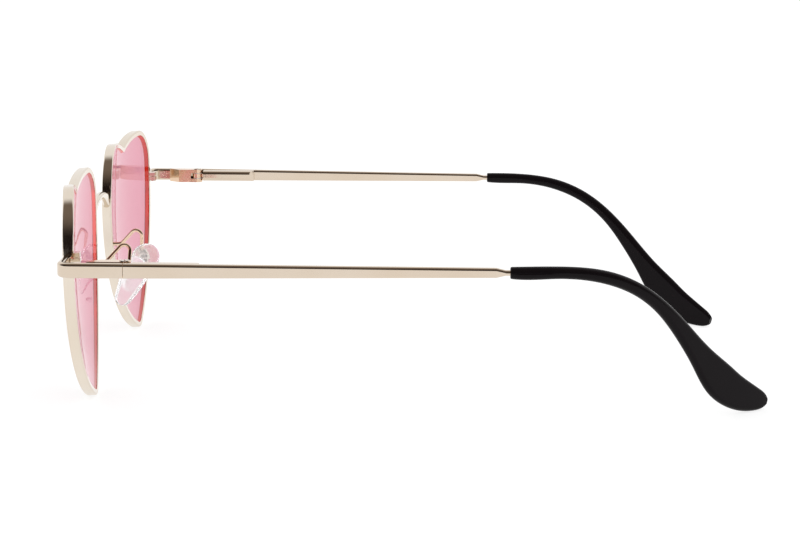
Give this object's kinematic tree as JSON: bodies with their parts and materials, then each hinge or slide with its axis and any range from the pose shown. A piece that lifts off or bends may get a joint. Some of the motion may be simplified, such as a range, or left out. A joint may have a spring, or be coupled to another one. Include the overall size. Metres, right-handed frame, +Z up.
{
  "type": "heart-shaped sunglasses",
  "caption": "Metal-rimmed sunglasses with tinted heart-shaped lenses, slim folding temples on spring hinges, curved ear tips and clear nose pads on wire arms.",
  "frame": {"origin": "centre of the bounding box at its bottom, where the rims and the ear tips rest on a table", "axes": "+Z up, the front looks along -Y and the temples run along +Y, +X is the wearer's left"},
  "size_m": [0.139, 0.1476, 0.0469],
  "materials": {
    "gold_metal": "polished pale champagne-gold plating",
    "pink_lens": "clear pink tint, polished",
    "clear_silicone": "clear, soft and smooth",
    "clear_nylon": "clear",
    "black_acetate": "glossy black",
    "white_nylon": "smooth",
    "steel": "bright"
  },
  "bodies": {
    "front": {"bridge": "gold_metal", "left_rim": "gold_metal", "left_lens": "pink_lens", "left_lock_upper": "gold_metal", "left_lock_lower": "gold_metal", "left_lock_screw": "steel", "left_endpiece": "gold_metal", "left_hinge_fork": "gold_metal", "left_hinge_screw": "steel", "left_pad_arm": "gold_metal", "left_pad_box": "gold_metal", "left_pad_screw": "steel", "right_rim": "gold_metal", "right_lens": "pink_lens", "right_lock_upper": "gold_metal", "right_lock_lower": "gold_metal", "right_lock_screw": "steel", "right_endpiece": "gold_metal", "right_hinge_fork": "gold_metal", "right_hinge_screw": "steel", "right_pad_arm": "gold_metal", "right_pad_box": "gold_metal", "right_pad_screw": "steel"},
    "left_pad": {"left_nose_pad": "clear_silicone", "left_pad_boss": "clear_nylon"},
    "left_washers": {"left_hinge_washer_upper": "white_nylon", "left_hinge_washer_lower": "white_nylon"},
    "left_tongue": {"left_hinge_tongue": "gold_metal", "left_spring_collar": "steel", "left_hinge_spring": "steel"},
    "left_temple": {"left_temple": "gold_metal", "left_temple_tip": "black_acetate", "left_spring_box": "gold_metal", "left_guide_bush": "gold_metal"},
    "right_pad": {"right_nose_pad": "clear_silicone", "right_pad_boss": "clear_nylon"},
    "right_washers": {"right_hinge_washer_upper": "white_nylon", "right_hinge_washer_lower": "white_nylon"},
    "right_tongue": {"right_hinge_tongue": "gold_metal", "right_spring_collar": "steel", "right_hinge_spring": "steel"},
    "right_temple": {"right_temple": "gold_metal", "right_temple_tip": "black_acetate", "right_spring_box": "gold_metal", "right_guide_bush": "gold_metal"}
  },
  "joints": [
    {"name": "left_fold", "type": "hinge", "parent": "front", "child": "left_washers", "pos_m": [0.06675, -0.05676, 0.03335], "axis": [0, 0, -1], "range_deg": [-84, 0]},
    {"name": "left_flex", "type": "hinge", "parent": "left_washers", "child": "left_tongue", "pos_m": [0.06675, -0.05676, 0.03335], "axis": [0, 0, -1], "range_deg": [0, 12], "stiffness_Nm_per_rad": 0.24},
    {"name": "left_spring_travel", "type": "slide", "parent": "left_tongue", "child": "left_temple", "axis": [0, 1, 0], "range_m": [0, 0.00065], "deforming": ["left_hinge_spring"]},
    {"name": "left_pad_rock", "type": "hinge", "parent": "front", "child": "left_pad", "pos_m": [0.0101, -0.06359, 0.02196], "axis": [0.4226, 0.9063, 0], "range_deg": [-10, 10]},
    {"name": "right_fold", "type": "hinge", "parent": "front", "child": "right_washers", "pos_m": [-0.06675, -0.05676, 0.03335], "axis": [0, 0, 1], "range_deg": [-76, 0]},
    {"name": "right_flex", "type": "hinge", "parent": "right_washers", "child": "right_tongue", "pos_m": [-0.06675, -0.05676, 0.03335], "axis": [0, 0, 1], "range_deg": [0, 12], "stiffness_Nm_per_rad": 0.24},
    {"name": "right_spring_travel", "type": "slide", "parent": "right_tongue", "child": "right_temple", "axis": [0, 1, 0], "range_m": [0, 0.00065], "deforming": ["right_hinge_spring"]},
    {"name": "right_pad_rock", "type": "hinge", "parent": "front", "child": "right_pad", "pos_m": [-0.0101, -0.06359, 0.02196], "axis": [-0.4226, 0.9063, 0], "range_deg": [-10, 10]}
  ],
  "couplings": [
    {"joint": "left_spring_travel", "follows": "left_flex", "m_per_rad": 0.003},
    {"joint": "right_spring_travel", "follows": "right_flex", "m_per_rad": 0.003}
  ]
}
